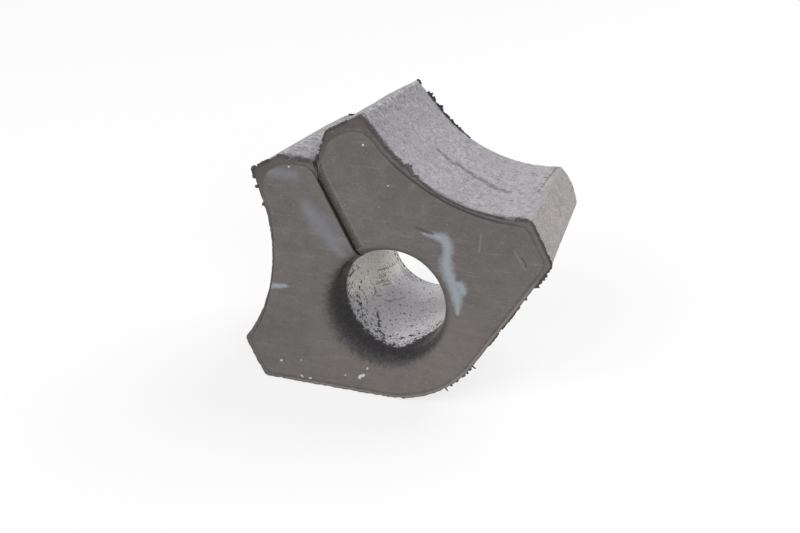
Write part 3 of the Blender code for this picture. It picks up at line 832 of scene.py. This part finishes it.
colour = coated(tree, colour, (
    (painted["strip"], 0.3, 1.0, 0.8, "767279"),
    (edge_line, 0.42, 0.15, 0.65, "463F3D"),
    # painted shade in the groove inside the front rim, deepest along the waists
    (frayed(painted["groove"], blots, 0.4), 0.25, 0.95, 0.88, "3F3B3B"),
    (frayed(painted["smear"], blots, 1.0, middle, 1.2), 0.95, 1.75, 0.55, "8C949C"),
    (frayed(painted["smear"], blots, 0.6), 0.6, 1.3, 0.3, "A4ACB3"),
    (frayed(painted["haze"], middle, 1.6), 0.4, 1.9, 0.4, "80838F"),
    # painted shade in the valley beside the knife cut and along the cut
    (cut_valley_shade, 2.05, 1.3, 0.85, "3F3A37"),
    (cut_shade, 2.5, 2.0, 0.7, "302B29"),
    # painted highlight on the rolls beside the knife cut
    (cut_ridge_highlight, 0.14, 0.02, 0.3, "7B7672"),
    # painted shade on the walls of the knife cut and right at its edges
    (painted["cut"], 0.13, 0.03, 0.8, "322D2B"),
    # the scratch over the grease, and the painted shadow beside the light scratch
    (frayed(nearest_of(SCRATCH_AND_SHADOW_LINES), grain, 0.8), 0.3, 1.1, 0.7, "403C3A"),
    (frayed(nearest_of(LIGHT_LINES), grain, 0.6), 0.3, 1.1, 0.25, "8A8682"),
    (lip_line, 0.9, 0.1, 0.6, "3A3433"),
    (pitted(mm, 1.25, 0.42, clot_share), 0.0, 1.0, 0.95, "242225"),
    (pitted(mm, 0.8, 0.3, crumb_share), 0.0, 1.0, 0.92, "29272A"),
    (pitted(mm, 0.5, 0.2, crumb_share), 0.0, 1.0, 0.8, "3A373C"),
    (ring, 0.0, 1.0, 1.0, "29282B"),
    (ring_worn, 2.15, 2.75, 0.5, "524D4B"),
    (frayed(nearest_of(SCRIBBLES), crumbs, 2.4), 1.4, 1.9, 0.85, "1F1D1F"),
    (frayed(nearest_of(CLOTS), crumbs, 2.0), 1.3, 1.7, 0.9, "242225"),
    (frayed(nearest_of(PAINT), crumbs, 1.6), 0.9, 1.2, 0.9, "C6C3BE")))

relief = frayed(0.0, blots, 0.7, grain, 0.3)
bump = add(tree, "ShaderNodeBump", {"Strength": 0.4, "Distance": 0.00012, "Height": relief})
rough = add(tree, "ShaderNodeMapRange", {"Value": blots, "From Min": 0.3, "From Max": 0.7,
                                         "To Min": 0.62, "To Max": 0.8})
shader = add(tree, "ShaderNodeBsdfPrincipled", {"IOR": 1.5, "Specular IOR Level": 0.35,
                                                "Base Color": colour, "Roughness": rough, "Normal": bump})
show(tree, "ShaderNodeOutputMaterial", shader)
rubber_block.data.materials.append(rubber)
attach(rubber_block, "root")
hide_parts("rubber_block")


# Torn flash. Where the mould halves met, rubber crept out in a thin fin along both rims; it was torn off
# by hand and left teeth, curls and a few flaps that fold back over the side.
FIN_PITCH = 0.22
FIN_ROOT = 0.35
FIN_Y = 20.3
FIN_LEAST = 0.04
FIN_STAND_OFF = 0.12
FIN_CURL = 0.25
FIN_CURL_SIZE = 1.9
TOOTH_SIZE = 0.42
CLUMP_SIZE = 1.8
# Share of the reach, none at the root, and half the thickness in mm there
FIN_RINGS = ((None, 0.14), (0.5, 0.12), (1.0, 0.05))
# Bearing from the right-hand side of the bore, spread, both in degrees, reach in mm and how far it folds
# back over the side, in degrees
FRONT_FINS = ((54.8, 2.6, 2.5, 80.0), (58.4, 2.2, 1.6, 80.0), (62.0, 3.0, 0.8, 80.0),
              (67.0, 4.0, 0.7, 75.0), (50.4, 2.4, 1.2, 80.0), (46.0, 4.0, 0.6, 80.0),
              (36.0, 10.0, 0.2, 85.0), (21.0, 9.0, 0.14, 85.0), (11.2, 0.8, 0.8, 88.0),
              (9.8, 0.9, 0.6, 75.0), (5.0, 4.0, 0.32, 70.0), (0.0, 3.0, 0.3, 70.0), (-5.0, 3.0, 0.25, 0.0),
              (-9.8, 4.6, 0.5, 0.0), (-13.3, 0.7, 0.75, 0.0), (-18.4, 0.6, 0.25, 0.0),
              (-27.0, 8.0, 0.16, 0.0), (-40.0, 6.0, 0.12, 0.0), (-60.6, 0.9, 0.75, 0.0),
              (-63.0, 1.2, 0.3, 0.0), (-65.8, 0.9, 0.4, 0.0), (-69.0, 1.6, 0.25, 0.0),
              (-74.0, 1.4, 0.22, 0.0), (-78.6, 1.0, 0.25, 0.0), (-82.4, 0.7, 0.7, 0.0),
              (109.6, 2.0, 0.3, 40.0), (112.8, 0.5, 0.4, 0.0), (111.0, 0.6, 0.3, 0.0),
              (105.5, 2.6, 0.25, 60.0), (98.8, 1.6, 0.5, 80.0), (94.8, 1.2, 0.8, 80.0),
              (92.6, 0.9, 0.8, 80.0), (88.6, 0.8, 0.8, 70.0), (80.0, 8.0, 0.12, 40.0),
              (116.7, 0.5, 0.3, 0.0), (178.0, 0.9, 0.2, 0.0), (-178.6, 1.2, 0.25, 0.0),
              (-167.6, 0.7, 0.55, 0.0), (-162.6, 1.1, 0.7, 0.0), (-146.4, 1.6, 0.4, 0.0),
              (-139.0, 1.4, 0.25, 0.0), (-109.3, 1.5, 0.15, 0.0))
REAR_FINS = ((70.0, 1.0, 0.35, 0.0), (66.0, 1.6, 0.75, 0.0), (63.9, 0.9, 0.35, 0.0), (62.4, 1.3, 0.8, 0.0),
             (58.5, 3.0, 0.5, 0.0), (53.5, 3.4, 0.42, 0.0), (48.5, 2.4, 0.16, 0.0), (98.2, 1.8, 0.4, 0.0),
             (-50.0, 5.0, 0.2, 0.0), (126.0, 3.0, 0.25, 0.0), (-64.0, 2.0, 0.4, 0.0))


def fin_reach(point, patches, end):
    """Reach of the torn fin at a point of the rim, and its fold, from the patch that is longest there."""
    bearing = math.degrees(math.atan2(point.y, point.x))
    at = Vector((point.x, point.y, 40.0 * end))
    tooth = 0.7 + 1.3 * noise.noise(at / TOOTH_SIZE) + 0.5 * noise.noise(at / CLUMP_SIZE)
    reach, fold = 0.0, 0.0
    for centre, spread, length, patch_fold in patches:
        off = abs((bearing - centre + 180.0) % 360.0 - 180.0) / spread
        patch = length * (1.0 - off * off) * max(0.3, min(1.2, tooth + 0.25)) if off < 1.0 else 0.0
        if patch > reach:
            reach, fold = patch, patch_fold
    return reach, fold


def torn_fin(name, end, patches):
    """Fins along one rim, each drawn as a thin wedge that grows ring by ring along the outline."""
    points = spread_points(rim_loop, round(path_length(rim_loop) / FIN_PITCH))
    bm = bmesh.new()
    cap = None
    for n in range(1, len(points) - 1):
        point = points[n]
        along = (points[n + 1] - points[n - 1]).normalized()
        out = Vector((-along.y, along.x))
        on_floor = abs(out.dot(Vector((-math.sin(SEAT_ANGLE), -math.cos(SEAT_ANGLE)))) - 1.0) < 0.02
        reach, fold = fin_reach(point, patches, end)
        if reach < FIN_LEAST or (on_floor and end > 0.0):
            cap = None
            continue
        turn = math.radians(fold)
        at = Vector((point.x, point.y, 30.0 * end))
        curl = FIN_CURL * reach * noise.noise(at / FIN_CURL_SIZE)
        ring = []
        for share, thick in FIN_RINGS:
            step = -FIN_ROOT if share is None else reach * share
            across = step if share is None else step * math.cos(turn) + FIN_STAND_OFF * math.sin(turn)
            back = 0.0 if share is None else step * math.sin(turn) + curl * share
            ring.append((across, FIN_Y - back, thick))
        corners = [(a, y + t) for a, y, t in ring] + [(a, y - t) for a, y, t in reversed(ring)]
        if cap is None:
            made = bmesh.ops.create_circle(bm, cap_ends=True, segments=6, radius=1.0)["verts"]
            cap = made[0].link_faces[0]
        else:
            made = bmesh.ops.extrude_face_region(bm, geom=[cap])["geom"]
            old = cap
            cap = [item for item in made if isinstance(item, bmesh.types.BMFace)][0]
            if old.is_valid and len([e for e in old.edges if len(e.link_faces) > 2]):
                bmesh.ops.delete(bm, geom=[old], context="FACES_ONLY")
        for loop_corner, (across, y) in zip(cap.loops, corners):
            rim_spot = point + out * across
            loop_corner.vert.co = place(rim_spot.x, y * end, rim_spot.y)
    for vert in bm.verts:
        for axis in range(3):
            vert.co[axis] = max(cad_box[0][axis], min(cad_box[1][axis], vert.co[axis]))
    bmesh.ops.recalc_face_normals(bm, faces=bm.faces)
    return linked_object(name, bm)


# Torn rubber edge. Fresh tears are blacker and a little browner than the bloomed skin, and those of the
# rear rim have stayed clean and bluish black.
torn = bpy.data.materials.new("torn_rubber_edge")
tree = emptied(torn)
spot = add(tree, "ShaderNodeTexCoord", output="Object")
patchy = add(tree, "ShaderNodeTexNoise", {"Vector": spot, "Scale": 1.0 / (1.5 * MM), "Detail": 3.0})
to_rear = add(tree, "ShaderNodeSeparateXYZ", {0: spot}, 1)
colour = coated(tree, hex_rgb("3D3839"), (
    (patchy, 0.5, 0.7, 0.5, "544D4A"),
    (patchy, 0.42, 0.3, 0.8, "343034"),
    (to_rear, 0.0, 0.01, 0.9, "2A2B34")))
shader = add(tree, "ShaderNodeBsdfPrincipled", {"IOR": 1.5, "Base Color": colour, "Roughness": 0.65,
                                                "Specular IOR Level": 0.35})
show(tree, "ShaderNodeOutputMaterial", shader)
for fin in (torn_fin("torn_flash_front", -1.0, FRONT_FINS), torn_fin("torn_flash_rear", 1.0, REAR_FINS)):
    fin.data.materials.append(torn)
    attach(fin, "root")


# Floor. A plain white table top. It glows a little for the camera and in reflections, so that it stays
# white without more light on the block, and it takes the block's soft shadow.
FLOOR_HALF = 6.0
GLOW_SHARE = 0.66
GLOW_LEVEL = 1.1
floor_grid = bmesh.new()
bmesh.ops.create_grid(floor_grid, x_segments=1, y_segments=1, size=FLOOR_HALF)
floor = linked_object("floor", floor_grid)


def seen_straight(tree):
    """1 for a ray of the camera, of a reflection or through something clear, and 0 for stray light."""
    rays = [add(tree, "ShaderNodeLightPath", output=kind)
            for kind in ("Is Camera Ray", "Is Glossy Ray", "Is Transmission Ray")]
    seen = add(tree, "ShaderNodeMath", {0: rays[0], 1: rays[1]}, operation="MAXIMUM")
    return add(tree, "ShaderNodeMath", {0: seen, 1: rays[2]}, operation="MAXIMUM")


paper = bpy.data.materials.new("white_table_top")
tree = emptied(paper)
glowing = add(tree, "ShaderNodeMath", {0: seen_straight(tree), 1: GLOW_SHARE}, operation="MULTIPLY")
matte = add(tree, "ShaderNodeBsdfDiffuse", {"Color": hex_rgb("E6E6E6")})
glow = add(tree, "ShaderNodeEmission", {"Color": (1.0, 1.0, 1.0, 1.0), "Strength": GLOW_LEVEL})
mixed = add(tree, "ShaderNodeMixShader", {0: glowing, 1: matte, 2: glow})
show(tree, "ShaderNodeOutputMaterial", mixed)
floor.data.materials.append(paper)


# Light. A wide soft box above and behind the block whitens what looks up, one beside the camera reaches
# into the bore, a weaker one fills from the left, and the bright room round it does the rest.
ROOM_LEVEL = 0.3
LIT_SPOT = Vector((0.012, 0.0, 0.025))
world = bpy.data.worlds.new("bright_room")
bpy.context.scene.world = world
tree = emptied(world)
room = add(tree, "ShaderNodeBackground", {"Color": (1.0, 1.0, 1.0, 1.0), "Strength": ROOM_LEVEL})
white = add(tree, "ShaderNodeBackground", {"Color": (1.0, 1.0, 1.0, 1.0), "Strength": 1.0})
mixed = add(tree, "ShaderNodeMixShader", {0: seen_straight(tree), 1: room, 2: white})
show(tree, "ShaderNodeOutputWorld", mixed)


def soft_box(name, place_at, size, level):
    """Square lamp aimed at the block; level 1 lights a surface that faces it as written."""
    reach = Vector(place_at) - LIT_SPOT
    lamp_data = bpy.data.lights.new(name, "AREA")
    lamp_data.shape = "SQUARE"
    lamp_data.size = size
    lamp_data.energy = level * math.pi ** 2 * reach.length_squared
    lamp = bpy.data.objects.new(name, lamp_data)
    lamp.location = place_at
    lamp.rotation_euler = reach.to_track_quat("Z", "Y").to_euler()
    bpy.context.scene.collection.objects.link(lamp)


soft_box("soft_box_above", (0.9, 1.1, 1.75), 1.5, 0.54)
soft_box("soft_box_camera", (1.15, -1.8, 0.75), 1.0, 0.38)
soft_box("soft_box_left", (-0.8, -1.75, 1.35), 1.2, 0.48)

bpy.context.scene.view_settings.view_transform = "Standard"
